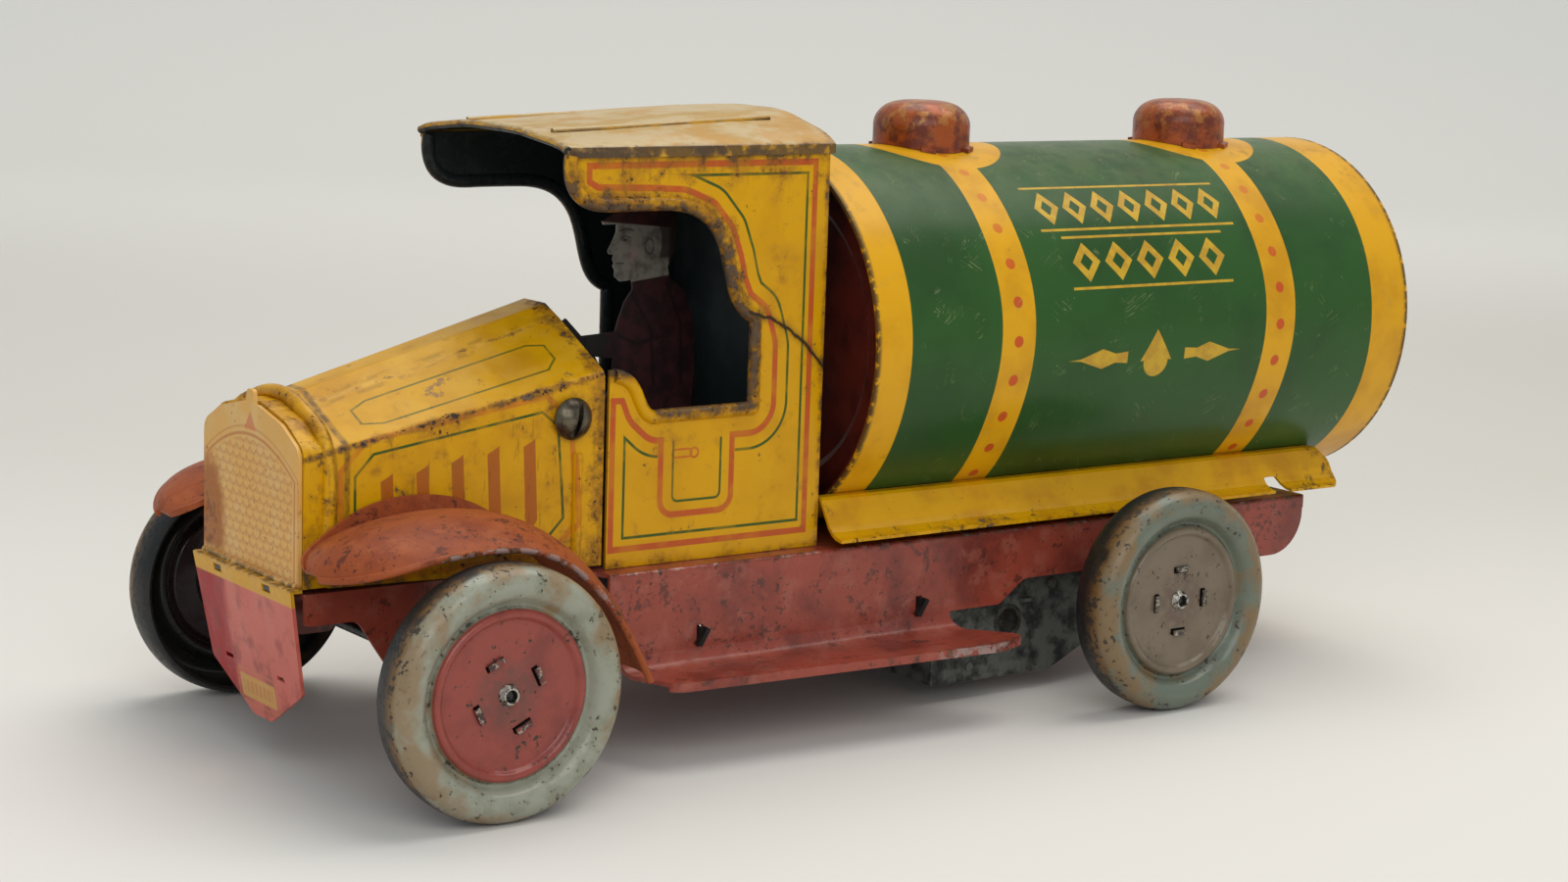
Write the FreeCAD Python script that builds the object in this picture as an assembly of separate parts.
import FreeCAD, Part
import math
import os

# ---------------------------------------------------------------------------
# Lithographed tin toy tanker truck with a clockwork motor.
# Working axes: x runs back from the front axle, y to the truck's right,
# z up from the ground.  Every finished piece is moved by SHIFT so that the
# middle of the truck's outline stands over the origin.  Millimetres.
# ---------------------------------------------------------------------------
V = FreeCAD.Vector

# overall
NOSE_X = -27.0          # foremost point of the fenders
TAIL_X = 239.7          # rear rim of the tank
SHIFT = V(-(NOSE_X + TAIL_X) / 2, 0, 0)
SHEET = 0.7             # tinplate
THIN = 0.6

# running gear
WHEEL_R = 23.0
WHEEL_W = 10.0
WHEELBASE = 158.8
TRACK_IN = 46.5         # y of the inner face of every wheel
AXLE_R = 1.1
RUN_FIT = 0.06
AXLE_Z = WHEEL_R

# chassis pan
DECK_Z = 36.2           # top of the deck
DECK_T = 0.8
PAN_HALF = 31.0
FOLD_R = 0.75
RAIL_HALF = 20.0
PAN_FRONT = 30.0
PAN_REAR = 217.0
BOARD_Z = 17.2          # top of the running boards
BOARD_OUT = 47.0

# cab and hood
CAB_HALF = 26.5
CAB_FRONT = 36.8
CAB_REAR = 86.0
CAB_TOP = 114.2
HOOD_FRONT = -22.2
HOOD_REAR = 36.4

# tank
TANK_R = 37.8
TANK_Z = 74.8
TANK_FRONT = 90.7
TANK_SHEET = 0.7
CAP_X = (129.4, 202.6)
CAP_R = 10.1

# clockwork: gears of one module, worked out from tooth counts
MODULE = 0.75
GREAT_T = 28
SMALL_T = 8
MID_T = 22
ARBOR = (136.0, 15.6)   # x, z of the winding arbor
PLATE_Y = 27.0          # outer face of the motor plates
PLATE_T = 0.9


# ------------------------------------------------------------- small helpers
def box(x0, x1, y0, y1, z0, z1):
    return Part.makeBox(x1 - x0, y1 - y0, z1 - z0, V(x0, y0, z0))


def rod(x, z, r, y0, y1):
    return Part.makeCylinder(r, y1 - y0, V(x, y0, z), V(0, 1, 0))


def rounded(points, make):
    """Closed wire through (a, b, radius) corners; make(a, b) places a point."""
    n = len(points)
    starts = []
    for i in range(n):
        a, b, r = points[i]
        pa, pb = points[i - 1][:2]
        na, nb = points[(i + 1) % n][:2]
        u = V(pa - a, pb - b, 0)
        w = V(na - a, nb - b, 0)
        u.normalize()
        w.normalize()
        half = u.getAngle(w) / 2
        if r < 0.01 or half > math.pi / 2 - 0.02:
            starts.append((None, V(a, b, 0), V(a, b, 0), V(a, b, 0)))
            continue
        cut = r / math.tan(half)
        bis = u + w
        bis.normalize()
        mid = V(a, b, 0) + bis * (r / math.sin(half) - r)
        starts.append((True, V(a, b, 0) + u * cut, mid, V(a, b, 0) + w * cut))
    edges = []
    for i in range(n):
        has_arc, p, mid, q = starts[i]
        if has_arc:
            arc = Part.Arc(make(p.x, p.y), make(mid.x, mid.y), make(q.x, q.y))
            edges.append(arc.toShape())
        nxt = starts[(i + 1) % n][1]
        if (nxt - q).Length > 1e-6:
            edges.append(Part.makeLine(make(q.x, q.y), make(nxt.x, nxt.y)))
    return Part.Wire(edges)


def side_plate(points, y0, y1):
    """Plate standing along the truck: outline in (x, z, corner radius)."""
    face = Part.Face(rounded(points, lambda a, b: V(a, y0, b)))
    return face.extrude(V(0, y1 - y0, 0))


def cross_plate(points, x0, x1):
    """Plate standing across the truck: outline in (y, z, corner radius)."""
    face = Part.Face(rounded(points, lambda a, b: V(x0, a, b)))
    return face.extrude(V(x1 - x0, 0, 0))


def flat_plate(points, z0, z1):
    face = Part.Face(rounded(points, lambda a, b: V(a, b, z0)))
    return face.extrude(V(0, 0, z1 - z0))


def spline(points):
    curve = Part.BSplineCurve()
    curve.interpolate(points)
    return curve.toShape()


def tube_along(points, r):
    """Round bead swept through the points."""
    path = Part.Wire([spline(points)])
    start = points[0]
    tangent = path.Edges[0].tangentAt(path.Edges[0].FirstParameter)
    ring = Part.Wire([Part.makeCircle(r, start, tangent)])
    return path.makePipeShell([ring], True, False)


def mirror(shape):
    return shape.mirror(V(0, 0, 0), V(0, 1, 0))


def fuse(shapes):
    out = shapes[0].fuse(shapes[1:]) if len(shapes) > 1 else shapes[0]
    return out.removeSplitter()


def group(shapes):
    return Part.makeCompound(shapes)


# ------------------------------------------------------------------- chassis
def apron_outline():
    """Side skirt: deep beside the running board, cut away at the motor."""
    return [(PAN_FRONT + 5, DECK_Z, 0), (PAN_REAR, DECK_Z, 1.0), (PAN_REAR, 23.4, 9.0),
            (180.0, 23.4, 1.5), (176.0, 25.4, 1.5), (136.5, 25.4, 4.0),
            (130.0, 20.6, 1.5), (PAN_FRONT + 5, 20.6, 0)]


def board_edge():
    """Outer edge of the right board in plan: widening rearward to a rounded tip (x, y, corner)."""
    return [(PAN_FRONT + 12.5, 43.0, 4.0), (117.5, BOARD_OUT, 9.0), (127.6, 43.4, 2.6)]


def running_board(side):
    """Board bent outward from the foot of the skirt, with a turned-down lip."""
    y_in = PAN_HALF - DECK_T
    z = BOARD_Z
    profile = [(y_in, z + 4.6, 0), (PAN_HALF, z + 4.6, 0), (PAN_HALF, z, 3.0), (BOARD_OUT + 1, z, 0),
               (BOARD_OUT + 1, z - DECK_T, 0), (y_in, z - DECK_T, 3.8)]
    bent = cross_plate(profile, PAN_FRONT + 7, 130.0)
    front = (PAN_FRONT + 7, y_in - 1, 0)
    rear = (115.5, y_in - 1, 0)
    board = bent.common(flat_plate([front] + board_edge() + [rear], z - 3, z + 6))
    # the lip is the same plan again, less a copy of it drawn in by the lip's thickness
    inner = [(x + 0.4, y - 0.9, r) for x, y, r in board_edge()]
    inner[-1] = (inner[-1][0] - 2.0, inner[-1][1] + 0.4, 2.0)
    wall = flat_plate([front] + board_edge() + [rear], z - 1.7, z - 0.3)
    wall = wall.cut(flat_plate([(front[0] - 1, front[1] - 3, 0)] + inner + [(rear[0] - 1.6, rear[1] - 3, 0)],
                               z - 2, z))
    wall = wall.common(box(PAN_FRONT + 12, 140.0, 41.0, 60.0, z - 3, z))
    board = board.fuse(wall)
    return mirror(board) if side == "left" else board


def hanger_outline():
    """Front rail with the axle hanger hanging from it."""
    return [(-22.0, DECK_Z, 0.6), (PAN_FRONT + 6, DECK_Z, 0), (PAN_FRONT + 6, 30.4, 1.0),
            (13.0, 30.4, 3.0), (3.6, 18.6, 2.2), (-3.6, 18.6, 2.2), (-11.5, 30.4, 3.0), (-22.0, 30.4, 0.8)]


def rear_tabs(side):
    """Short turned-down lip at the tail of the deck."""
    s = -1 if side == "left" else 1
    y0, y1 = sorted((s * 12.0, s * (PAN_HALF - 0.2)))
    return box(PAN_REAR - 0.4, PAN_REAR + 0.4, y0, y1, DECK_Z - 3.0, DECK_Z)


def chassis_pan():
    z0 = DECK_Z - DECK_T
    deck = flat_plate([(-22.0, -RAIL_HALF, 0.6), (PAN_FRONT, -RAIL_HALF, 3.0), (PAN_FRONT + 6, -PAN_HALF, 3.0),
                       (PAN_REAR, -PAN_HALF, 0.8), (PAN_REAR, PAN_HALF, 0.8), (PAN_FRONT + 6, PAN_HALF, 3.0),
                       (PAN_FRONT, RAIL_HALF, 3.0), (-22.0, RAIL_HALF, 0.6)], z0, DECK_Z)
    parts = [deck]
    for side in ("left", "right"):
        s = -1 if side == "left" else 1
        y0, y1 = sorted((s * PAN_HALF, s * (PAN_HALF - DECK_T)))
        parts.append(side_plate(apron_outline(), y0, y1))
        r0, r1 = sorted((s * RAIL_HALF, s * (RAIL_HALF - DECK_T)))
        parts.append(side_plate(hanger_outline(), r0, r1))
        parts.append(running_board(side))
        parts.append(rear_tabs(side))
        # nose tab that reaches into the radiator stamping
        t0, t1 = sorted((s * 11.2, s * 8.8))
        parts.append(box(-24.5, -21.5, t0, t1, z0, DECK_Z))
    pan = fuse(parts)
    cuts = [rod(0, AXLE_Z, AXLE_R + RUN_FIT, -60, 60)]
    # slots for the strap tabs in both skirts
    for x in STRAP_X:
        cuts.append(box(x - 0.75, x + 0.75, -60, 60, 20.4, 24.6))
    # slots for the motor plate tabs in the deck
    for x in MOTOR_TAB_X:
        for s in (-1, 1):
            y = s * (PLATE_Y - PLATE_T / 2)
            cuts.append(box(x - 2.6, x + 2.6, y - 0.55, y + 0.55, z0 - 1, DECK_Z + 1))
    for c in cuts:
        pan = pan.cut(c)
    # round the long folded edge at the top of the skirts
    for s in (-1, 1):
        y0, y1 = sorted((s * (PAN_HALF - FOLD_R), s * (PAN_HALF + 0.2)))
        corner = box(PAN_FRONT + 7, PAN_REAR + 1, y0, y1, DECK_Z - FOLD_R, DECK_Z + 0.2)
        keep = Part.makeCylinder(FOLD_R, 200, V(PAN_FRONT, s * (PAN_HALF - FOLD_R), DECK_Z - FOLD_R), V(1, 0, 0))
        pan = pan.cut(corner.cut(keep))
    return pan


STRAP_X = (55.6, 108.8)
MOTOR_TAB_X = (129.0, 152.0)


def cross_straps():
    """Two black straps under the deck whose end tabs are twisted outside the skirts."""
    out = []
    inner = PAN_HALF - DECK_T - 0.15
    for x in STRAP_X:
        strap = box(x - 0.45, x + 0.45, -inner, inner, 19.0, 28.0)
        window = side_plate([(x - 2, 19.0, 0), (x + 2, 19.0, 0), (x + 2, 24.0, 0), (x - 2, 24.0, 0)], -24, 24)
        strap = strap.cut(window)
        pieces = [strap]
        for s in (-1, 1):
            y0, y1 = sorted((s * (inner - 0.5), s * (PAN_HALF + 0.9)))
            neck = box(x - 0.45, x + 0.45, y0, y1, 20.9, 24.1)
            head = box(-0.45, 0.45, 0, 1.5, -1.9, 1.9)
            head.rotate(V(0, 0, 0), V(0, 1, 0), 32)
            head.translate(V(x, PAN_HALF + 0.25, 22.5))
            if s < 0:
                head = mirror(head)
            pieces += [neck, head]
        out.append(fuse(pieces))
    return group(out)


# ------------------------------------------------------------------- fenders
def fender_stations():
    """x, z of the crown, inner y, outer y, bulge, edge drop, flange height."""
    return [(-26.2, 42.6, 28.5, 33.5, 0.4, 0.6, 0.5),
            (-24.0, 44.4, 24.6, 40.0, 1.2, 1.6, 0.5),
            (-19.0, 46.8, 22.6, 45.6, 2.0, 2.0, 0.7),
            (-11.0, 48.9, 22.3, 48.2, 2.3, 2.0, 2.6),
            (-1.0, 49.8, 22.8, 49.0, 2.4, 2.0, 3.2),
            (9.0, 48.6, 23.7, 49.0, 2.2, 2.0, 2.4),
            (17.5, 44.4, 24.7, 48.8, 2.0, 2.0, 0.9),
            (24.4, 38.0, 27.3, 48.2, 1.7, 1.9, 0.5),
            (30.2, 29.8, 31.2, 47.6, 1.2, 1.6, 0.5),
            (35.0, 20.4, 31.4, 47.2, 0.8, 1.2, 0.5)]


def fender_section(k, sts):
    """Closed outline of the pressed sheet at one station along the fender."""
    x, z, yi, yo, bulge, drop, flange = sts[k]
    a = sts[max(k - 1, 0)]
    b = sts[min(k + 1, len(sts) - 1)]
    run = V(b[0] - a[0], 0, b[1] - a[1])
    run.normalize()
    up = V(-run.z, 0, run.x)

    def at(y, h):
        return V(x, y, z) + up * h

    t = SHEET
    w = yo - yi
    top = [at(yi, 0), at(yi + 0.22 * w, bulge * 0.7), at(yi + 0.5 * w, bulge),
           at(yi + 0.8 * w, bulge * 0.35), at(yo, -drop)]
    low = [at(yo - t * 0.8, -drop - t * 0.6), at(yi + 0.8 * w, bulge * 0.35 - t),
           at(yi + 0.5 * w, bulge - t), at(yi + 0.22 * w, bulge * 0.7 - t), at(yi, -t)]
    edges = [Part.makeLine(at(yi - t, flange), at(yi, flange)),
             Part.makeLine(at(yi, flange), top[0]),
             spline(top),
             Part.makeLine(top[-1], low[0]),
             spline(low),
             Part.makeLine(low[-1], at(yi - t, -t)),
             Part.makeLine(at(yi - t, -t), at(yi - t, flange))]
    return Part.Wire(edges), top[-1]


def front_fender(side):
    sts = fender_stations()
    wires = []
    rim = []
    for k in range(len(sts)):
        wire, edge_point = fender_section(k, sts)
        wires.append(wire)
        rim.append(edge_point)
    sheet = Part.makeLoft(wires, True, False)
    roll = tube_along([p + V(0, -0.25, -0.1) for p in rim], 0.7)
    fender = fuse([sheet, roll])
    return mirror(fender) if side == "left" else fender


# -------------------------------------------------------- radiator and shield
def radiator_outline(grow):
    g = grow
    return [(-19.3 - g, 37.2, 0), (19.3 + g, 37.2, 0), (19.3 + g, 62.0, 3.4), (12.4 + g * 0.6, 65.7 + g * 0.8, 5.0),
            (3.2, 67.8 + g, 1.5), (-3.2, 67.8 + g, 1.5), (-12.4 - g * 0.6, 65.7 + g * 0.8, 5.0),
            (-19.3 - g, 62.0, 3.4)]


def radiator_shield():
    face_x = HOOD_FRONT - SHEET - 0.1
    face = cross_plate(radiator_outline(0), face_x, face_x + SHEET)
    # upright cap tab at the crown
    tab = cross_plate([(-2.0, 66.6, 0), (2.0, 66.6, 0), (1.3, 70.4, 0.9), (-1.3, 70.4, 0.9)],
                      face_x, face_x + SHEET)
    bead = tube_along([V(face_x + 0.2, -19.0, 37.4), V(face_x, 0, 37.4), V(face_x + 0.2, 19.0, 37.4)], 0.8)
    step = box(face_x - 1.6, face_x + SHEET, -19.6, 19.6, 36.5, 37.3)
    # shield leans back towards its foot
    outline = [(-20.0, 37.3, 0.4), (20.0, 37.3, 0.4), (18.2, 17.0, 1.5), (3.6, 8.6, 1.5),
               (-3.6, 8.6, 1.5), (-18.2, 17.0, 1.5)]
    shield = cross_plate(outline, -SHEET / 2, SHEET / 2)
    slots = []
    for s in (-1, 1):
        slots.append(box(-2, 2, s * 10.0 - 1.6, s * 10.0 + 1.6, 35.1, 36.5))
        slots.append(box(-2, 2, s * 10.5 - 1.5, s * 10.5 + 1.5, 18.2, 19.0))
    for c in slots:
        shield = shield.cut(c)
    shield.rotate(V(0, 0, 36.6), V(0, 1, 0), -9.5)
    shield.translate(V(face_x - 1.5, 0, 0))
    return fuse([face, tab, bead, step, shield])


# ---------------------------------------------------------------------- hood
def hood_section(x, half, shoulder_z, crown_z, spine, inset):
    """Closed outline of the hood at x, moved in by inset (0 for the outside)."""
    i = inset
    low = 37.0 - (3.0 if inset else 0)
    pts = [(-half + i, low, 0), (half - i, low, 0), (half - i, shoulder_z - i * 0.8, 2.0 - i),
           (spine + 2.2, crown_z - 2.3 - i, 1.2), (spine * 0.55, crown_z - i, 1.4),
           (-spine * 0.55, crown_z - i, 1.4), (-spine - 2.2, crown_z - 2.3 - i, 1.2),
           (-half + i, shoulder_z - i * 0.8, 2.0 - i)]
    return rounded(pts, lambda a, b: V(x, a, b))


def hood_solid(inset):
    grow = 0.4 if inset else 0
    front = hood_section(-17.5 - grow, 19.9, 61.6, 69.2, 5.0, inset)
    rear = hood_section(HOOD_REAR + grow, 25.6, 73.4, 83.8, 7.0, inset)
    return Part.makeLoft([front, rear], True, True)


def hood():
    shell = hood_solid(0).cut(hood_solid(SHEET))
    ring_out = cross_plate(radiator_outline(0.6), HOOD_FRONT, -17.0)
    ring_in = cross_plate(radiator_outline(-0.3), HOOD_FRONT - 1, -16.0)
    floor_cut = box(-30, -10, -18.4, 18.4, 30, 45)
    frame = ring_out.cut(ring_in).cut(floor_cut)
    # raised bead that runs over the hood just behind the radiator frame
    path = [V(-17.3, -20.0, 38.2), V(-17.3, -20.1, 50), V(-17.3, -19.9, 58.5), V(-17.3, -17.6, 63.6),
            V(-17.3, -11.5, 66.9), V(-17.3, -5.5, 68.8), V(-17.3, 0, 69.5)]
    path = path + [V(p.x, -p.y, p.z) for p in reversed(path[:-1])]
    bead = tube_along(path, 1.35)
    parts = [shell, frame, bead]
    for s in (-1, 1):
        rib = tube_along([V(31.0, s * 25.1, 39.5), V(31.0, s * 25.1, 49), V(31.0, s * 25.1, 58.5)], 0.95)
        parts.append(rib)
    body = fuse(parts)
    keep_out = hood_solid(SHEET).fuse(box(-25, -15, -18.6, 18.6, 20, 60))
    body = body.cut(keep_out.common(box(-19.0, HOOD_REAR + 1, -17.9, 17.9, 20, 64)))
    for s in (-1, 1):
        body = body.cut(rod(SCREW[0], SCREW[1], 1.7, s * 26 - 4, s * 26 + 4))
    return body


SCREW = (29.6, 65.2)


def hood_screws():
    """Slotted round-head screws through the rear corners of the hood."""
    out = []
    for s in (-1, 1):
        face_y = 25.4
        shank = Part.makeCylinder(1.6, 5.4, V(SCREW[0], face_y - 4.8, SCREW[1]), V(0, 1, 0))
        ball = Part.makeSphere(4.6, V(SCREW[0], face_y - 1.9, SCREW[1]))
        head = ball.common(Part.makeCylinder(3.95, 5, V(SCREW[0], face_y, SCREW[1]), V(0, 1, 0)))
        slot = box(SCREW[0] - 0.5, SCREW[0] + 0.5, face_y + 1.3, face_y + 5, SCREW[1] - 5, SCREW[1] + 5)
        slot.rotate(V(SCREW[0], 0, SCREW[1]), V(0, 1, 0), 14)
        screw = fuse([shank, head]).cut(slot)
        out.append(mirror(screw) if s < 0 else screw)
    return group(out)


def hood_nuts():
    """Hexagon nuts inside the hood, one on each screw."""
    out = []
    for s in (-1, 1):
        y1 = 23.7
        ring = [V(SCREW[0] + 3.4 * math.cos(math.radians(60 * k)), y1 - 2.0,
                  SCREW[1] + 3.4 * math.sin(math.radians(60 * k))) for k in range(7)]
        nut = Part.Face(Part.makePolygon(ring)).extrude(V(0, 2.0, 0))
        nut = nut.cut(rod(SCREW[0], SCREW[1], 1.65, y1 - 3, y1 + 1))
        out.append(mirror(nut) if s < 0 else nut)
    return group(out)


# ----------------------------------------------------------------------- cab
def door_top_curve():
    """Edge from the tip of the visor round to the back of the door (x, z)."""
    return [(26.5, 113.6), (26.5, 110.2), (28.3, 106.0), (32.2, 103.8), (38.0, 103.4), (46.0, 103.4),
            (52.0, 103.0), (57.0, 101.0), (60.2, 97.4), (61.9, 93.0), (63.1, 88.4), (65.0, 84.2), (68.6, 81.6)]


def door_front_curve():
    """Edge from the door sill up to the back of the hood (x, z)."""
    return [(48.0, 65.7), (45.6, 66.5), (44.0, 69.2), (42.3, 72.0), (40.0, 73.4), (CAB_FRONT, 73.9)]


def cab_side(side):
    y = CAB_HALF

    def at(p):
        return V(p[0], y - SHEET, p[1])

    top = [at(p) for p in door_top_curve()]
    low = [at(p) for p in door_front_curve()]
    corner = [(26.5, CAB_TOP), (CAB_REAR, CAB_TOP), (CAB_REAR, DECK_Z + 0.1), (CAB_FRONT, DECK_Z + 0.1)]
    corner = [at(p) for p in corner]
    back_low = at((68.6, 65.7))
    edges = [Part.makeLine(corner[0], corner[1]), Part.makeLine(corner[1], corner[2]),
             Part.makeLine(corner[2], corner[3]), Part.makeLine(corner[3], low[-1]), spline(low),
             Part.makeLine(low[0], back_low), Part.makeLine(back_low, top[-1]), spline(top),
             Part.makeLine(top[0], corner[0])]
    wire = Part.Wire(Part.__sortEdges__(edges))
    panel = Part.Face(wire).extrude(V(0, SHEET, 0))
    # rolled bead round the doorway
    r = 1.35
    yb = y - 0.25
    beads = [tube_along([V(x + 1.1 * n[0], yb, z + 1.1 * n[1]) for (x, z), n in bead_points()], r)]
    beads.append(tube_along([V(69.6, yb, 81.2), V(69.6, yb, 74), V(69.6, yb, 65.4)], r))
    beads.append(tube_along([V(69.6, yb, 64.7), V(60, yb, 64.6), V(48.5, yb, 64.6)], r))
    front = [(48.5, 64.6), (44.9, 65.5), (43.1, 68.6), (41.4, 71.2), (39.4, 72.4), (37.9, 72.8)]
    beads.append(tube_along([V(a, yb, b) for a, b in front], r))
    for a, b in ((69.6, 81.2), (69.6, 64.9), (48.5, 64.6)):
        beads.append(Part.makeSphere(r, V(a, yb, b)))
    panel = fuse([panel] + beads)
    # sheet stays in front of the hood's back edge
    panel = panel.cut(box(20, CAB_FRONT - 0.05, 20, 40, 60, 80))
    return mirror(panel) if side == "left" else panel


def bead_points():
    """Door-edge points paired with the direction from the doorway into the sheet."""
    pts = door_top_curve()
    out = []
    for k in range(len(pts)):
        a = pts[max(k - 1, 0)]
        b = pts[min(k + 1, len(pts) - 1)]
        length = math.hypot(b[0] - a[0], b[1] - a[1])
        tx, tz = (b[0] - a[0]) / length, (b[1] - a[1]) / length
        out.append((pts[k], (-tz, tx)))
    return out


def roof_curve(x, rise, drop):
    """Across-the-truck line of the roof at x, lowered by drop."""
    z = CAB_TOP + 0.15
    shape = ((-27.1, 0.0), (-24.5, 0.28), (-18.0, 0.62), (-10.0, 0.94), (0.0, 1.0),
             (10.0, 0.94), (18.0, 0.62), (24.5, 0.28), (27.1, 0.0))
    return [V(x, y, z + rise * h - drop) for y, h in shape]


def cab_roof():
    wires = []
    for x, rise in ((26.2, 2.6), (50.0, 4.0), (80.0, 5.6), (CAB_REAR + 0.8, 5.6)):
        top = roof_curve(x, rise, -SHEET)
        low = list(reversed(roof_curve(x, rise, 0)))
        wires.append(Part.Wire([spline(top), Part.makeLine(top[-1], low[0]), spline(low),
                                Part.makeLine(low[-1], top[0])]))
    sheet = Part.makeLoft(wires, True, False)
    parts = [sheet]
    for s in (-1, 1):
        y0, y1 = sorted((s * (CAB_HALF + 0.1), s * (CAB_HALF + 0.6)))
        parts.append(box(26.2, CAB_REAR + 0.8, y0, y1, CAB_TOP - 1.0, CAB_TOP + 0.5))
        ridge = [V(30, s * 15.5, CAB_TOP + 3.0), V(54, s * 15.5, CAB_TOP + 4.0), V(79, s * 15.5, CAB_TOP + 5.15)]
        parts.append(tube_along(ridge, 0.6))
    brow = roof_curve(26.3, 2.6, -0.2)
    parts.append(tube_along(brow, 0.75))
    return fuse(parts)


def cab_back():
    inner = CAB_HALF - SHEET - 0.1
    outline = [(-inner, DECK_Z + 0.1, 0), (inner, DECK_Z + 0.1, 0), (inner, CAB_TOP - 0.2, 0),
               (17, CAB_TOP + 2.6, 3), (8, CAB_TOP + 4.4, 3), (-8, CAB_TOP + 4.4, 3),
               (-17, CAB_TOP + 2.6, 3), (-inner, CAB_TOP - 0.2, 0)]
    wall = cross_plate(outline, CAB_REAR - SHEET, CAB_REAR)
    parts = [wall]
    for s in (-1, 1):
        y0, y1 = sorted((s * inner, s * (inner - SHEET)))
        parts.append(box(CAB_REAR - 6, CAB_REAR - 0.1, y0, y1, DECK_Z + 0.1, CAB_TOP - 1))
    return fuse(parts)


def driver_figure():
    """Flat cut-out of a seated driver at the steering wheel, seen in profile."""
    face = [(72.0, DECK_Z + 0.1), (72.6, 56.0), (73.6, 68.0), (73.2, 78.0), (70.6, 84.4), (67.2, 87.0),
            (66.6, 89.2), (68.0, 92.0), (68.5, 96.0), (68.0, 99.4), (65.6, 101.8), (61.4, 103.0),
            (56.8, 102.4), (54.2, 100.2), (51.2, 98.6), (51.6, 97.9), (54.6, 97.9), (54.6, 96.4),
            (54.1, 95.2), (52.7, 92.7), (53.1, 92.1), (54.2, 91.9), (53.9, 91.0), (54.3, 90.4),
            (54.0, 89.7), (54.5, 88.9), (54.4, 87.7), (55.6, 86.7), (58.4, 86.9), (58.6, 85.0),
            (56.8, 82.6), (55.4, 79.0), (54.8, 76.9), (51.0, 76.6), (47.0, 76.4)]
    wheel_top = [(43.4, 80.0), (42.4, 79.3), (46.6, 74.6), (50.6, 69.0), (51.7, 69.7), (50.2, 72.2)]
    lap = [(54.5, 71.6), (54.0, 66.0), (50.5, 60.0), (49.5, 44.0), (49.5, DECK_Z + 0.1)]
    outline = face + wheel_top + lap
    pts = [V(a, -THIN / 2, b) for a, b in outline]
    plate = Part.Face(Part.makePolygon(pts + [pts[0]])).extrude(V(0, THIN, 0))
    foot = box(49.5, 72.0, -THIN / 2, 6.0, DECK_Z + 0.1, DECK_Z + 0.1 + THIN)
    return fuse([plate, foot])


# ---------------------------------------------------------------------- tank
def tank_ring(r_out, r_in, x0, x1):
    outer = Part.makeCylinder(r_out, x1 - x0, V(x0, 0, TANK_Z), V(1, 0, 0))
    return outer.cut(Part.makeCylinder(r_in, x1 - x0 + 2, V(x0 - 1, 0, TANK_Z), V(1, 0, 0)))


def tank_shell():
    shell = tank_ring(TANK_R, TANK_R - TANK_SHEET, TANK_FRONT, TAIL_X - 0.5)
    for x in CAP_X:
        shell = shell.cut(Part.makeCylinder(1.7, 20, V(x, 0, TANK_Z + 30), V(0, 0, 1)))
    # lap seam along the bottom
    seam = box(TANK_FRONT + 3, TAIL_X - 3, -2.5, 2.5, TANK_Z - TANK_R + 0.3, TANK_Z - TANK_R + 1.1)
    return fuse([shell, seam])


def dished_end(x, depth, out):
    """Pressed end: flat middle, raised ring and a flange that lies in the shell."""
    r = TANK_R - TANK_SHEET - 0.1
    d = -1 if out == "front" else 1
    prof = [(0, 0), (r - 9, 0), (r - 7.5, 0.9), (r - 4.5, 0.9), (r - 3.0, 0), (r - 1.2, 0), (r, -0.0),
            (r, depth), (r - SHEET, depth), (r - SHEET, -SHEET), (r - 3.0, -SHEET), (r - 4.5, 0.2),
            (r - 7.5, 0.2), (r - 9, -SHEET), (0, -SHEET)]
    pts = [V(x + d * a, 0, TANK_Z + b) for b, a in prof]
    face = Part.Face(Part.makePolygon(pts + [pts[0]]))
    return face.revolve(V(0, 0, TANK_Z), V(1, 0, 0), 360)


def tank_front_end():
    return dished_end(TANK_FRONT + 5.0, 4.6, "front")


def tank_rear_end():
    end = dished_end(TAIL_X - 2.6, 2.2, "rear")
    rim = Part.makeTorus(TANK_R - 0.55, 0.5, V(TAIL_X - 0.5, 0, TANK_Z), V(1, 0, 0))
    collar = tank_ring(TANK_R - TANK_SHEET - 0.1, TANK_R - 1.6, TAIL_X - 3.0, TAIL_X - 0.4)
    return fuse([end, rim, collar])


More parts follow.
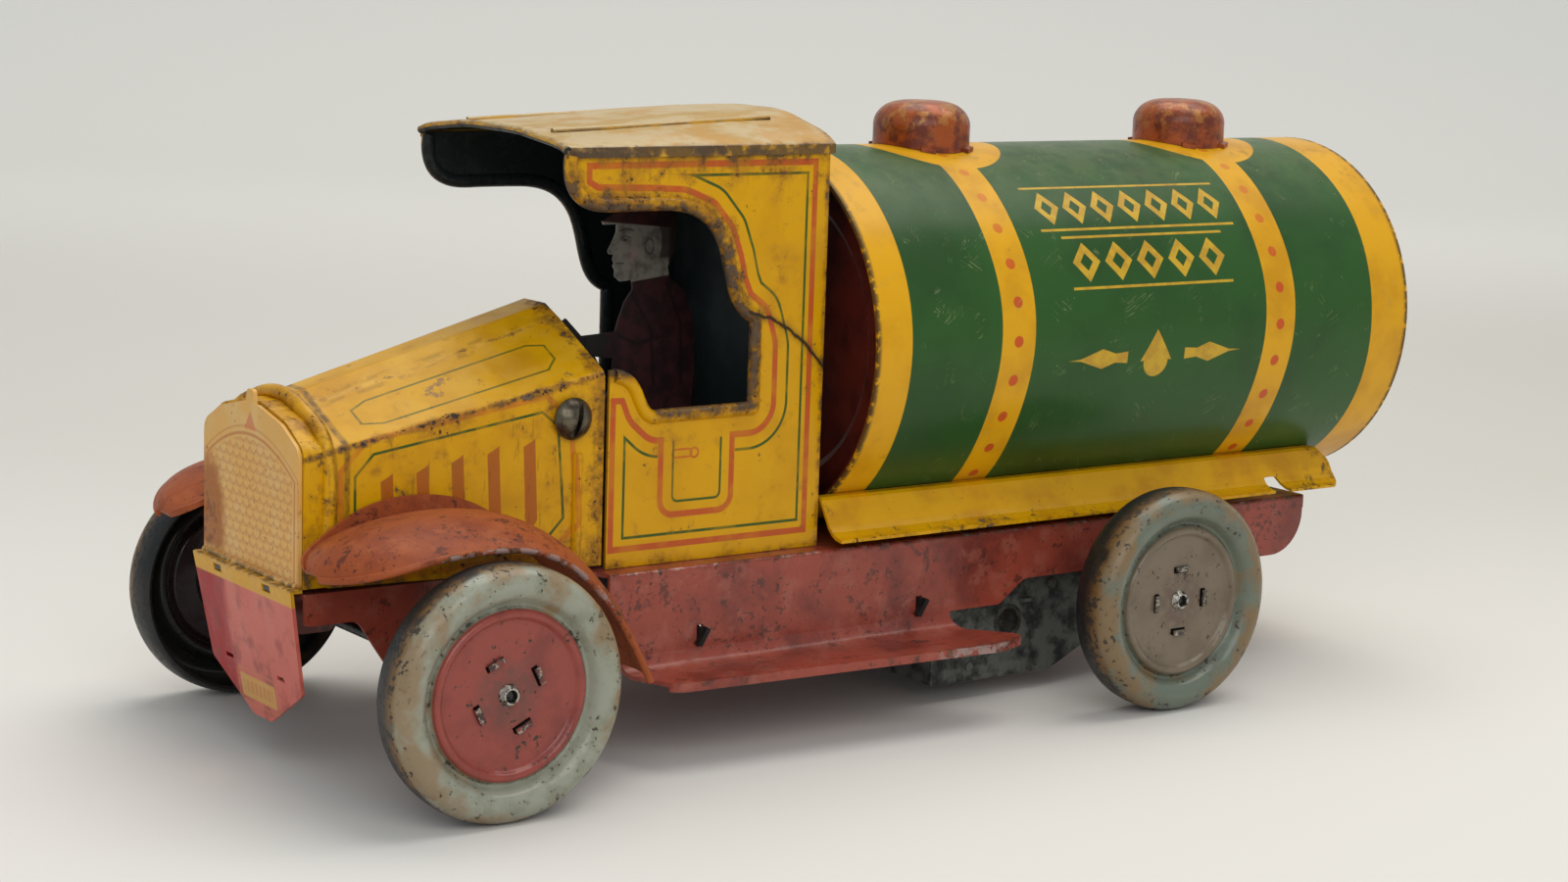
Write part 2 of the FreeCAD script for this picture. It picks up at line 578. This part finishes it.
def filler_cap(k):
    """Domed cap with a straight skirt; a rivet foot holds it to the tank."""
    x = CAP_X[k]
    z0 = TANK_Z + TANK_R
    prof = [(0, 9.1), (4.2, 8.9), (7.6, 7.9), (9.5, 6.0), (CAP_R, 3.6)]
    outer = [V(x + a, 0, z0 + b) for a, b in prof]
    inner = [V(x + max(a - SHEET, 0), 0, z0 + b - (SHEET if a < 8 else 0)) for a, b in prof]
    edges = [spline(outer), Part.makeLine(outer[-1], V(x + CAP_R, 0, z0 - 2.2)),
             Part.makeLine(V(x + CAP_R, 0, z0 - 2.2), V(x + CAP_R - SHEET, 0, z0 - 2.2)),
             Part.makeLine(V(x + CAP_R - SHEET, 0, z0 - 2.2), inner[-1]),
             spline(list(reversed(inner))), Part.makeLine(inner[0], outer[0])]
    dome = Part.Face(Part.Wire(edges)).revolve(V(x, 0, z0), V(0, 0, 1), 360)
    dome = dome.cut(Part.makeCylinder(TANK_R + 0.08, 60, V(x - 30, 0, TANK_Z), V(1, 0, 0)))
    post = Part.makeCylinder(1.6, 10.6, V(x, 0, z0 - 2.0), V(0, 0, 1))
    foot = Part.makeCylinder(3.2, 0.8, V(x, 0, z0 - 2.6), V(0, 0, 1))
    foot = foot.cut(tank_ring(TANK_R + 1, TANK_R - TANK_SHEET - 0.05, x - 10, x + 10))
    parts = [dome, post, foot]
    for ang in (60, 120, 240, 300):
        tab = box(CAP_R - 0.4, CAP_R + 1.0, -1.5, 1.5, -1.7, 1.1)
        tab.rotate(V(0, 0, 0), V(0, 0, 1), ang)
        tab.translate(V(x, 0, z0))
        tab = tab.cut(Part.makeCylinder(TANK_R + 0.08, 60, V(x - 30, 0, TANK_Z), V(1, 0, 0)))
        top = Part.makeCylinder(TANK_R + 0.9, 60, V(x - 30, 0, TANK_Z), V(1, 0, 0))
        parts.append(tab.common(top))
    return fuse(parts)


def bed_lip_section(crest, zc):
    """Section of one outer lip: over the crest, down the steep face and out along the foot (y, z)."""
    top = zc + 0.75
    face = [(crest - 0.9, top), (crest + 1.9, top), (crest + 2.7, top - 0.5), (29.4, 41.6), (30.0, 40.5),
            (31.0, 39.5), (32.4, 38.8), (34.0, 38.5)]
    back = [(34.0, 37.9), (32.1, 38.2), (30.6, 39.0), (29.5, 40.1), (28.8, 41.3), (crest + 2.2, top - 0.8),
            (crest + 1.7, top - 0.6), (crest - 0.5, zc - 0.3)]
    return face + back


def tank_bed():
    """Cradle under the tank: trough, crests beside it and flared outer lips."""
    x0, x1 = CAB_REAR + 0.4, 226.8
    r_in = TANK_R + 0.12
    r_out = r_in + THIN
    crest = 24.4
    zc = TANK_Z - math.sqrt(r_out * r_out - crest * crest)
    trough = tank_ring(r_out, r_in, x0, x1 - 3.4).common(box(x0, x1, -crest, crest, 30, zc + 2.0))
    parts = [trough]
    for s in (-1, 1):
        pts = [V(x0, s * a, b) for a, b in bed_lip_section(crest, zc)]
        skirt = Part.Face(Part.makePolygon(pts + [pts[0]])).extrude(V(x1 - x0, 0, 0))
        skirt = skirt.cut(Part.makeCylinder(r_in, x1 - x0 + 2, V(x0 - 1, 0, TANK_Z), V(1, 0, 0)))
        y0, y1 = sorted((s * 20.0, s * 36.0))
        side = side_plate([(x0 - 1, 37.7, 0), (x1, 37.7, 2.4), (x1, 43.0, 2.0), (x1 - 3.4, 46.8, 0),
                           (x0 - 1, 46.8, 0)], y0, y1)
        skirt = skirt.common(side)
        # outer rear corner is rounded in plan
        plan = flat_plate([(x0 - 1, s * 20.0, 0), (x1 + 0.2, s * 20.0, 0), (x1 + 0.2, s * 34.4, 5.4),
                           (x0 - 1, s * 34.4, 0)], 30, 50)
        skirt = skirt.common(plan)
        y0, y1 = sorted((s * 29.2, s * 36.0))
        tear = side_plate([(205.2, 37.0, 0), (210.6, 37.0, 0), (209.4, 40.6, 0.9), (205.6, 41.0, 0.9)], y0, y1)
        parts.append(skirt.cut(tear))
    return fuse(parts)


# -------------------------------------------------------------- running gear
def wheel_profile():
    """Outside of the pressed wheel as (distance out from inner face, radius)."""
    return [(7.3, 12.9), (7.5, 13.4), (8.25, 14.0), (8.45, 14.6), (8.1, 15.2), (7.4, 15.6), (7.15, 16.0), (7.6, 16.6),
            (8.9, 17.4), (9.75, 18.6), (10.0, 19.9), (9.6, 21.3), (8.4, 22.4), (6.6, 22.95), (4.8, 23.0),
            (3.0, 22.85), (1.2, 22.4), (0.2, 21.8)]


def offset_points(points, t):
    out = []
    for k in range(len(points)):
        a = points[max(k - 1, 0)]
        b = points[min(k + 1, len(points) - 1)]
        length = math.hypot(b[0] - a[0], b[1] - a[1])
        tx, tr = (b[0] - a[0]) / length, (b[1] - a[1]) / length
        out.append((points[k][0] - t * tr, points[k][1] + t * tx))
    return out


TAB_R = 6.4
TAB_HALF = 1.6
FRONT_TURN = 64         # where the first hub tab stands, in degrees from straight up
REAR_TURN = 0


def tab_turn(x):
    return FRONT_TURN if x < WHEELBASE / 2 else REAR_TURN


def wheel(x, side):
    """One pressed-tin wheel: tyre bead and disc in one shell, open inside."""
    outer = wheel_profile()
    inner = offset_points(outer, SHEET)
    inner[0] = (outer[0][0] - SHEET, outer[0][1])

    def at(p):
        return V(x, TRACK_IN + p[0], AXLE_Z + p[1])

    bore = AXLE_R + 0.02
    hub_out = (7.3, bore)
    hub_in = (7.3 - SHEET, bore)
    edges = [Part.makeLine(at(hub_out), at(outer[0])), spline([at(p) for p in outer]),
             Part.makeLine(at(outer[-1]), at(inner[-1])), spline([at(p) for p in reversed(inner)]),
             Part.makeLine(at(inner[0]), at(hub_in)), Part.makeLine(at(hub_in), at(hub_out))]
    shell = Part.Face(Part.Wire(edges)).revolve(V(x, 0, AXLE_Z), V(0, 1, 0), 360)
    for k in range(4):
        slot = box(-TAB_HALF - 0.35, TAB_HALF + 0.35, 0, 20, TAB_R - 0.65, TAB_R + 0.65)
        slot.rotate(V(0, 0, 0), V(0, 1, 0), tab_turn(x) + 90 * k)
        slot.translate(V(x, TRACK_IN, AXLE_Z))
        shell = shell.cut(slot)
    return mirror(shell) if side == "left" else shell


def hub_plate(x, side):
    """Stiffening plate behind the disc; its four tabs are bent over outside."""
    y1 = TRACK_IN + 7.3 - SHEET - 0.05
    plate = Part.makeCylinder(8.6, 0.8, V(x, y1 - 0.8, AXLE_Z), V(0, 1, 0))
    parts = [plate]
    for k in range(4):
        stem = box(-TAB_HALF, TAB_HALF, y1 - 0.3, y1 + SHEET + 0.8, TAB_R - 0.3, TAB_R + 0.3)
        fold = box(-TAB_HALF, TAB_HALF, y1 + SHEET + 0.2, y1 + SHEET + 0.8, TAB_R - 0.3, TAB_R + 0.75)
        tab = stem.fuse(fold)
        tab.rotate(V(0, 0, 0), V(0, 1, 0), tab_turn(x) + 90 * k)
        tab.translate(V(x, 0, AXLE_Z))
        parts.append(tab)
    collar = rod(x, AXLE_Z, 2.4, y1 - 3.0, y1 - 0.5)
    out = fuse(parts + [collar]).cut(rod(x, AXLE_Z, AXLE_R + 0.02, 30, 70))
    return mirror(out) if side == "left" else out


def axle(x):
    """Plain rod with its ends upset outside the wheels."""
    end = TRACK_IN + 7.3
    parts = [rod(x, AXLE_Z, AXLE_R, -end - 0.8, end + 0.8)]
    for s in (-1, 1):
        head = Part.makeCone(2.1, 1.5, 1.0, V(x, s * (end + 0.05), AXLE_Z), V(0, s, 0))
        notch = Part.makeCone(0.8, 1.2, 0.75, V(x, s * (end + 0.35), AXLE_Z), V(0, s, 0))
        parts.append(head.cut(notch))
    out = fuse(parts)
    for s in (-1, 1):
        out = out.cut(Part.makeCone(0.8, 1.2, 0.75, V(x, s * (end + 0.35), AXLE_Z), V(0, s, 0)))
    return out


# ----------------------------------------------------------------- clockwork
def gear_centres():
    """Middle arbor placed so that both pairs of wheels just mesh."""
    ax, az = ARBOR
    bx, bz = WHEELBASE, AXLE_Z
    d1 = MODULE * (GREAT_T + SMALL_T) / 2
    d2 = MODULE * (MID_T + SMALL_T) / 2
    dist = math.hypot(bx - ax, bz - az)
    along = (d1 * d1 - d2 * d2 + dist * dist) / (2 * dist)
    rise = math.sqrt(d1 * d1 - along * along)
    ux, uz = (bx - ax) / dist, (bz - az) / dist
    return ax + along * ux - rise * uz, az + along * uz + rise * ux


def toothed(x, z, teeth, y0, y1, phase, slim):
    """Spur wheel; phase is the angle (degrees) of the middle of a tooth."""
    r = MODULE * teeth / 2
    root = r - 1.15 * MODULE
    tip = r + 0.85 * MODULE
    pitch = 2 * math.pi / teeth
    pts = []
    for k in range(teeth):
        mid = math.radians(phase) + k * pitch
        for frac, rad in ((-0.29 * slim, root), (-0.23 * slim, r), (-0.11 * slim, tip),
                          (0.11 * slim, tip), (0.23 * slim, r), (0.29 * slim, root)):
            a = mid + frac * pitch
            pts.append(V(x + rad * math.cos(a), y0, z + rad * math.sin(a)))
    return Part.Face(Part.makePolygon(pts + [pts[0]])).extrude(V(0, y1 - y0, 0))


def mesh_phases():
    """Tooth angles that put a tooth of one wheel in a gap of the other."""
    mx, mz = gear_centres()
    a1 = math.degrees(math.atan2(mz - ARBOR[1], mx - ARBOR[0]))
    a2 = math.degrees(math.atan2(AXLE_Z - mz, WHEELBASE - mx))
    great = a1
    pinion = a1 + 180 + 180 / SMALL_T
    middle = a2
    axle_p = a2 + 180 + 180 / SMALL_T
    return great, pinion, middle, axle_p


GREAT_Y = (4.0, 5.2)
MID_Y = (-8.0, -6.8)


def motor_plate(side):
    outline = [(116.0, 4.0, 0.5), (148.0, 4.0, 3.0), (167.0, 13.0, 4.0), (167.0, 30.0, 3.0),
               (160.0, DECK_Z - DECK_T, 0.5), (120.0, DECK_Z - DECK_T, 0.5), (116.0, 30.0, 2.0)]
    y0, y1 = PLATE_Y - PLATE_T, PLATE_Y
    plate = side_plate(outline, y0, y1)
    for x in MOTOR_TAB_X:
        plate = plate.fuse(box(x - 2.2, x + 2.2, y0, y1, DECK_Z - DECK_T - 0.5, DECK_Z - 0.05))
    mx, mz = gear_centres()
    bore = 3.75 if side == "left" else 2.0 + RUN_FIT
    plate = plate.cut(rod(ARBOR[0], ARBOR[1], bore, y0 - 1, y1 + 1))
    plate = plate.cut(rod(mx, mz, 1.1 + RUN_FIT, y0 - 1, y1 + 1))
    plate = plate.cut(rod(WHEELBASE, AXLE_Z, AXLE_R + RUN_FIT, y0 - 1, y1 + 1))
    if side == "left":
        # small lug pushed out of the plate beside the arbor hole
        lug = side_plate([(138.6, 19.6, 0.2), (141.8, 19.6, 0.2), (141.8, 20.3, 0.2), (138.6, 20.3, 0.2)],
                         y1 - 0.2, y1 + 1.6)
        plate = plate.fuse(lug)
    for px, pz in PILLARS:
        plate = plate.cut(rod(px, pz, 0.92, y0 - 1, y1 + 1))
    plate = plate.removeSplitter()
    return mirror(plate) if side == "left" else plate


PILLARS = ((125.9, 7.1), (121.5, 30.0), (163.0, 30.6))


def motor_frame():
    """Folded motor frame: two side plates joined by a web across the front."""
    web = cross_plate([(-PLATE_Y + 0.2, 4.2, 0.4), (PLATE_Y - 0.2, 4.2, 0.4), (PLATE_Y - 0.2, 24.0, 0.4),
                       (-PLATE_Y + 0.2, 24.0, 0.4)], 116.0, 116.0 + PLATE_T)
    return fuse([motor_plate("left"), motor_plate("right"), web])


def motor_pillars():
    out = []
    for px, pz in PILLARS:
        body = rod(px, pz, 1.4, -PLATE_Y + PLATE_T + 0.05, PLATE_Y - PLATE_T - 0.05)
        tenon = rod(px, pz, 0.9, -PLATE_Y - 0.4, PLATE_Y + 0.4)
        out.append(fuse([body, tenon]))
    return group(out)


def great_wheel():
    great, _, _, _ = mesh_phases()
    x, z = ARBOR
    disc = toothed(x, z, GREAT_T, GREAT_Y[0], GREAT_Y[1], great, 0.94)
    hub = rod(x, z, 3.4, GREAT_Y[0] - 1.6, GREAT_Y[1] - 0.2)
    wheel_ = fuse([disc, hub]).cut(rod(x, z, 2.0 + RUN_FIT, -20, 20))
    pin = rod(x + CLICK_R * math.cos(CLICK_A), z + CLICK_R * math.sin(CLICK_A), 0.7,
              GREAT_Y[0] + 0.3, GREAT_Y[1] + 1.6)
    return fuse([wheel_, pin])


CLICK_R = 7.6
CLICK_A = math.radians(250)
RATCHET_R = 5.2


def ratchet_wheel():
    """Saw-tooth wheel fixed on the winding arbor beside the great wheel."""
    x, z = ARBOR
    teeth = 12
    pts = []
    for k in range(teeth):
        a = 2 * math.pi * k / teeth
        pts.append(V(x + RATCHET_R * math.cos(a), GREAT_Y[1] + 0.25, z + RATCHET_R * math.sin(a)))
        a += 2 * math.pi / teeth * 0.93
        r = RATCHET_R - 1.1
        pts.append(V(x + r * math.cos(a), GREAT_Y[1] + 0.25, z + r * math.sin(a)))
    disc = Part.Face(Part.makePolygon(pts + [pts[0]])).extrude(V(0, 1.0, 0))
    hub = rod(x, z, 3.2, GREAT_Y[1] + 1.0, GREAT_Y[1] + 2.8)
    return fuse([disc, hub]).cut(rod(x, z, 2.02, -20, 20))


def click():
    """Pawl on the great wheel's pin, its nose resting just clear of the ratchet teeth."""
    x = ARBOR[0] + CLICK_R * math.cos(CLICK_A)
    z = ARBOR[1] + CLICK_R * math.sin(CLICK_A)
    y0 = GREAT_Y[1] + 0.3
    pts = [(-1.5, -1.0), (0.6, -1.5), (1.7, -0.4), (3.6, 1.2), (3.3, 1.85), (1.2, 1.3), (-0.8, 1.2)]
    face = Part.Face(Part.makePolygon([V(x + a, y0, z + b) for a, b in pts + [pts[0]]]))
    pawl = face.extrude(V(0, 0.9, 0))
    return pawl.cut(rod(x, z, 0.7 + 0.05, y0 - 1, y0 + 2))


def mainspring():
    """Coiled steel strip between the winding arbor and the lower front pillar."""
    x, z = ARBOR
    y0, y1 = -5.2, 1.8
    turns = 6.5
    steps = 130
    outer = []
    inner = []
    start = math.radians(40)
    for k in range(steps + 1):
        a = start + 2 * math.pi * turns * k / steps
        tail = max(0.0, (k - 0.86 * steps) / (0.14 * steps))
        r = 2.35 + 7.3 * k / steps + 1.6 * tail * tail
        inner.append(V(x + r * math.cos(a), y0, z + r * math.sin(a)))
        r += 0.42
        outer.append(V(x + r * math.cos(a), y0, z + r * math.sin(a)))
    edges = [spline(outer), Part.makeLine(outer[-1], inner[-1]), spline(list(reversed(inner))),
             Part.makeLine(inner[0], outer[0])]
    return Part.Face(Part.Wire(edges)).extrude(V(0, y1 - y0, 0))


def winding_arbor():
    """Arbor with a socketed collar at the left plate and a squared right end."""
    x, z = ARBOR
    body = rod(x, z, 2.0, -PLATE_Y + 4.0, PLATE_Y + 7.5)
    collar = rod(x, z, 3.75 - RUN_FIT, -PLATE_Y - 0.1, -PLATE_Y + 8.5)
    socket = rod(x, z, 2.7, -PLATE_Y - 1, -PLATE_Y + 6.5)
    ring = rod(x, z, 3.0, PLATE_Y - PLATE_T - 1.5, PLATE_Y - PLATE_T - 0.1)
    return fuse([body.cut(socket), collar.cut(socket), ring])


def winding_key():
    """Butterfly key: barrel on the arbor end and two looped wings."""
    x, z = ARBOR
    barrel = rod(x, z, 3.1, PLATE_Y + 5.6, PLATE_Y + 12.0)
    barrel = barrel.cut(rod(x, z, 2.02, PLATE_Y, PLATE_Y + 7.6))
    wing = []
    for s in (-1, 1):
        lobe = Part.makeCylinder(4.3, 1.4, V(x - 0.7, PLATE_Y + 13.2, z + s * 4.4), V(1, 0, 0))
        lobe = lobe.cut(Part.makeCylinder(1.9, 4, V(x - 2, PLATE_Y + 13.2, z + s * 4.4), V(1, 0, 0)))
        wing.append(lobe)
    stem = box(x - 0.7, x + 0.7, PLATE_Y + 9.6, PLATE_Y + 13.6, z - 2.6, z + 2.6)
    return fuse([barrel, stem] + wing)


def middle_arbor():
    """Thin arbor with the first pinion on it."""
    mx, mz = gear_centres()
    _, pinion, _, _ = mesh_phases()
    body = rod(mx, mz, 1.1, -PLATE_Y - 0.4, PLATE_Y + 0.4)
    leaf = toothed(mx, mz, SMALL_T, GREAT_Y[0] - 0.8, GREAT_Y[1] + 0.8, pinion, 0.86)
    return fuse([body, leaf])


def middle_wheel():
    mx, mz = gear_centres()
    _, _, middle, _ = mesh_phases()
    disc = toothed(mx, mz, MID_T, MID_Y[0], MID_Y[1], middle, 0.94)
    hub = rod(mx, mz, 2.6, MID_Y[0] - 1.5, MID_Y[1] - 0.1)
    return fuse([disc, hub]).cut(rod(mx, mz, 1.12, -20, 20))


def axle_pinion():
    _, _, _, phase = mesh_phases()
    leaf = toothed(WHEELBASE, AXLE_Z, SMALL_T, MID_Y[0] - 0.8, MID_Y[1] + 0.8, phase, 0.86)
    hub = rod(WHEELBASE, AXLE_Z, 2.0, MID_Y[1] + 0.5, MID_Y[1] + 4.0)
    return fuse([leaf, hub]).cut(rod(WHEELBASE, AXLE_Z, AXLE_R + 0.02, -20, 20))


# --------------------------------------------------------------------- build
def build():
    nodes = {
        "chassis_pan": chassis_pan(),
        "cross_straps": cross_straps(),
        "front_fender_left": front_fender("left"),
        "front_fender_right": front_fender("right"),
        "radiator_shield": radiator_shield(),
        "hood": hood(),
        "hood_screws": hood_screws(),
        "hood_nuts": hood_nuts(),
        "cab_side_left": cab_side("left"),
        "cab_side_right": cab_side("right"),
        "cab_roof": cab_roof(),
        "cab_back": cab_back(),
        "driver_figure": driver_figure(),
        "tank_shell": tank_shell(),
        "tank_front_end": tank_front_end(),
        "tank_rear_end": tank_rear_end(),
        "filler_cap_front": filler_cap(0),
        "filler_cap_rear": filler_cap(1),
        "tank_bed": tank_bed(),
        "front_axle": axle(0),
        "rear_axle": axle(WHEELBASE),
        "motor_frame": motor_frame(),
        "motor_pillars": motor_pillars(),
        "great_wheel": great_wheel(),
        "ratchet_wheel": ratchet_wheel(),
        "click": click(),
        "mainspring": mainspring(),
        "winding_arbor": winding_arbor(),
        "winding_key": winding_key(),
        "middle_arbor": middle_arbor(),
        "middle_wheel": middle_wheel(),
        "axle_pinion": axle_pinion(),
    }
    for name, x in (("front", 0), ("rear", WHEELBASE)):
        for side in ("left", "right"):
            nodes["wheel_%s_%s" % (name, side)] = wheel(x, side)
            nodes["hub_plate_%s_%s" % (name, side)] = hub_plate(x, side)
    return nodes


os.makedirs("parts", exist_ok=True)
for node, shape in sorted(build().items()):
    shape.translate(SHIFT)
    good = shape.isValid()
    solids = shape.Solids
    bb = shape.BoundBox
    volume = sum(s.Volume for s in solids)
    print("%-20s valid=%s solids=%d vol=%.0f  x %.1f..%.1f  y %.1f..%.1f  z %.1f..%.1f" % (
        node, good, len(solids), volume, bb.XMin, bb.XMax, bb.YMin, bb.YMax, bb.ZMin, bb.ZMax))
    shape.exportStep("parts/%s.step" % node)
